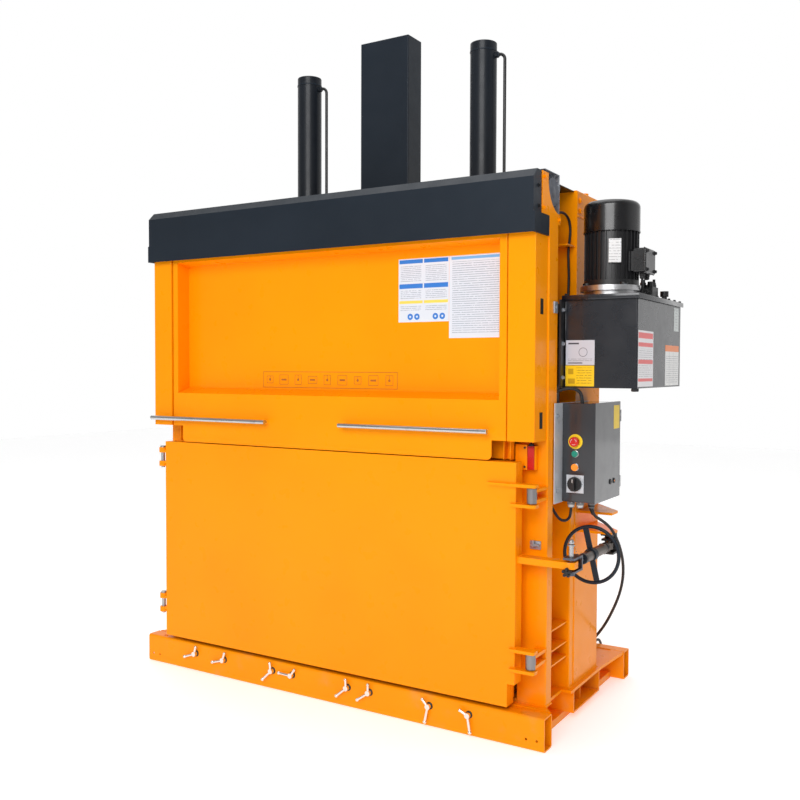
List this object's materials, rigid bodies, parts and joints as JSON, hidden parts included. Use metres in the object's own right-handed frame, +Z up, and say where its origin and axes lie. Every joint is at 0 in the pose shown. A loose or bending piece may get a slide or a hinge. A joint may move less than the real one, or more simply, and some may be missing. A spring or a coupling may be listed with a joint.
{
  "type": "recycling_baler",
  "caption": "Upright mill-size recycling baler with two cylinders, lifting loading door, hinged chamber door, handwheel lock, strap levers, power pack and control box.",
  "frame": {"origin": "on the floor under the middle of the base frame", "axes": "+X along the front to the right as seen from the front, +Y back through the chamber, +Z up"},
  "size_m": [2.346, 1.256, 2.985],
  "materials": {
    "orange_paint": "gloss",
    "anthracite_paint": "satin",
    "black_gloss": "gloss",
    "black_satin": "satin",
    "wall_paint": "satin",
    "bright_steel": "satin",
    "zinc": "matte",
    "chrome": "gloss",
    "aluminium": "satin",
    "red_plastic": "gloss",
    "green_plastic": "gloss",
    "amber_plastic": "gloss",
    "black_plastic": "matte",
    "cord_rubber": "matte"
  },
  "bodies": {
    "frame": {"base_frame": "orange_paint", "breather": "black_plastic", "cable_glands": "black_plastic", "chamber_floor": "wall_paint", "control_box": "anthracite_paint", "control_cables": "cord_rubber", "control_rail": "aluminium", "cord_coil": "cord_rubber", "cross_beam": "wall_paint", "cylinder_pipes": "black_gloss", "cylinders": "anthracite_paint", "end_plates": "orange_paint", "fan_cover": "black_satin", "fascia_panel": "anthracite_paint", "guide_casings": "orange_paint", "hinge_pins": "bright_steel", "left_side_frame": "wall_paint", "lift_chains": "bright_steel", "mast_cover": "anthracite_paint", "motor_housing": "black_satin", "power_cord": "cord_rubber", "power_plug": "red_plastic", "pump_flange": "aluminium", "rear_wall": "wall_paint", "right_side_frame": "wall_paint", "safety_switch": "red_plastic", "spindle_bracket": "black_satin", "tank": "black_gloss", "tank_bracket": "black_satin", "tank_lid": "black_gloss", "terminal_box": "black_satin", "top_cover": "black_satin", "valve_block": "black_satin", "wheel_brackets": "zinc"},
    "chamber_door": {"chamber_door": "orange_paint"},
    "loading_door": {"loading_door": "orange_paint", "door_handles": "bright_steel"},
    "balance_shaft": {"balance_shaft": "bright_steel"},
    "idler_wheels": {"idler_wheels": "bright_steel"},
    "counterweights": {"counterweights": "black_satin"},
    "platen": {"platen": "anthracite_paint", "piston_rods": "chrome"},
    "motor_fan": {"motor_fan": "black_plastic"},
    "control_door": {"control_door": "anthracite_paint"},
    "stop_button": {"stop_button": "red_plastic"},
    "start_button": {"start_button": "green_plastic"},
    "reset_button": {"reset_button": "amber_plastic"},
    "main_switch": {"main_switch": "black_plastic"},
    "spindle_eye": {"spindle_eye": "bright_steel"},
    "handwheel": {"handwheel": "anthracite_paint"},
    "clevis_rod": {"clevis_rod": "bright_steel"},
    "lock_pin": {"lock_pin": "chrome"},
    "strap_lever_1": {"strap_lever_1": "chrome"},
    "strap_lever_2": {"strap_lever_2": "chrome"},
    "strap_lever_3": {"strap_lever_3": "chrome"},
    "strap_lever_4": {"strap_lever_4": "chrome"},
    "strap_lever_5": {"strap_lever_5": "chrome"},
    "strap_lever_6": {"strap_lever_6": "chrome"},
    "strap_lever_7": {"strap_lever_7": "chrome"},
    "strap_lever_8": {"strap_lever_8": "chrome"}
  },
  "joints": [
    {"name": "chamber_door_hinge", "type": "hinge", "parent": "frame", "child": "chamber_door", "pos_m": [-0.948, -0.505, 0.655], "axis": [0, 0, -1], "range_deg": [0, 110]},
    {"name": "loading_door_lift", "type": "slide", "parent": "frame", "child": "loading_door", "axis": [0, 0, 1], "range_m": [0, 0.7]},
    {"name": "balance_shaft_spin", "type": "hinge", "parent": "frame", "child": "balance_shaft", "pos_m": [0, -0.345, 2.12], "axis": [-1, 0, 0], "range_deg": [0, 643.7]},
    {"name": "idler_wheel_spin", "type": "hinge", "parent": "frame", "child": "idler_wheels", "pos_m": [0, -0.345, 1.262], "axis": [-1, 0, 0], "range_deg": [0, 643.7]},
    {"name": "counterweight_drop", "type": "slide", "parent": "frame", "child": "counterweights", "axis": [0, 0, -1], "range_m": [0, 0.7]},
    {"name": "platen_stroke", "type": "slide", "parent": "frame", "child": "platen", "axis": [0, 0, -1], "range_m": [0, 0.8]},
    {"name": "motor_spin", "type": "hinge", "parent": "frame", "child": "motor_fan", "pos_m": [1.145, -0.115, 1.985], "axis": [0, 0, 1], "continuous": true},
    {"name": "control_door_hinge", "type": "hinge", "parent": "frame", "child": "control_door", "pos_m": [1.139, 0.039, 1.11], "axis": [0, 0, 1], "range_deg": [0, 110]},
    {"name": "stop_button_push", "type": "slide", "parent": "frame", "child": "stop_button", "axis": [0, 1, 0], "range_m": [0, 0.005], "stiffness_N_per_m": 400},
    {"name": "start_button_push", "type": "slide", "parent": "frame", "child": "start_button", "axis": [0, 1, 0], "range_m": [0, 0.004], "stiffness_N_per_m": 300},
    {"name": "reset_button_push", "type": "slide", "parent": "frame", "child": "reset_button", "axis": [0, 1, 0], "range_m": [0, 0.004], "stiffness_N_per_m": 300},
    {"name": "main_switch_turn", "type": "hinge", "parent": "frame", "child": "main_switch", "pos_m": [1.058, -0.265, 0.988], "axis": [0, -1, 0], "range_deg": [0, 90]},
    {"name": "spindle_swing", "type": "hinge", "parent": "frame", "child": "spindle_eye", "pos_m": [1.12, -0.035, 0.7125], "axis": [0, 0, 1], "range_deg": [0, 60]},
    {"name": "handwheel_spin", "type": "hinge", "parent": "spindle_eye", "child": "handwheel", "pos_m": [1.12, -0.245, 0.7125], "axis": [0, 1, 0], "range_deg": [0, 1440]},
    {"name": "clevis_travel", "type": "slide", "parent": "spindle_eye", "child": "clevis_rod", "axis": [0, -1, 0], "range_m": [0, 0.0101]},
    {"name": "lock_pin_drop", "type": "slide", "parent": "clevis_rod", "child": "lock_pin", "axis": [0, 0, -1], "range_m": [0, 0.042]},
    {"name": "strap_lever_1_turn", "type": "hinge", "parent": "frame", "child": "strap_lever_1", "pos_m": [-0.725, -0.53, 0.085], "axis": [0, -1, 0], "range_deg": [-30, 30]},
    {"name": "strap_lever_2_turn", "type": "hinge", "parent": "frame", "child": "strap_lever_2", "pos_m": [-0.547, -0.53, 0.085], "axis": [0, -1, 0], "range_deg": [-30, 30]},
    {"name": "strap_lever_3_turn", "type": "hinge", "parent": "frame", "child": "strap_lever_3", "pos_m": [-0.26, -0.53, 0.085], "axis": [0, -1, 0], "range_deg": [-30, 30]},
    {"name": "strap_lever_4_turn", "type": "hinge", "parent": "frame", "child": "strap_lever_4", "pos_m": [-0.149, -0.53, 0.085], "axis": [0, -1, 0], "range_deg": [-30, 30]},
    {"name": "strap_lever_5_turn", "type": "hinge", "parent": "frame", "child": "strap_lever_5", "pos_m": [0.149, -0.53, 0.085], "axis": [0, -1, 0], "range_deg": [-30, 30]},
    {"name": "strap_lever_6_turn", "type": "hinge", "parent": "frame", "child": "strap_lever_6", "pos_m": [0.26, -0.53, 0.085], "axis": [0, -1, 0], "range_deg": [-30, 30]},
    {"name": "strap_lever_7_turn", "type": "hinge", "parent": "frame", "child": "strap_lever_7", "pos_m": [0.547, -0.53, 0.085], "axis": [0, -1, 0], "range_deg": [-30, 30]},
    {"name": "strap_lever_8_turn", "type": "hinge", "parent": "frame", "child": "strap_lever_8", "pos_m": [0.725, -0.53, 0.085], "axis": [0, -1, 0], "range_deg": [-30, 30]}
  ],
  "couplings": [
    {"joint": "balance_shaft_spin", "follows": "loading_door_lift", "rad_per_m": 16.026},
    {"joint": "idler_wheel_spin", "follows": "loading_door_lift", "rad_per_m": 16.026},
    {"joint": "counterweight_drop", "follows": "loading_door_lift", "ratio": 1},
    {"joint": "clevis_travel", "follows": "handwheel_spin", "m_per_rad": 0.00039789}
  ]
}
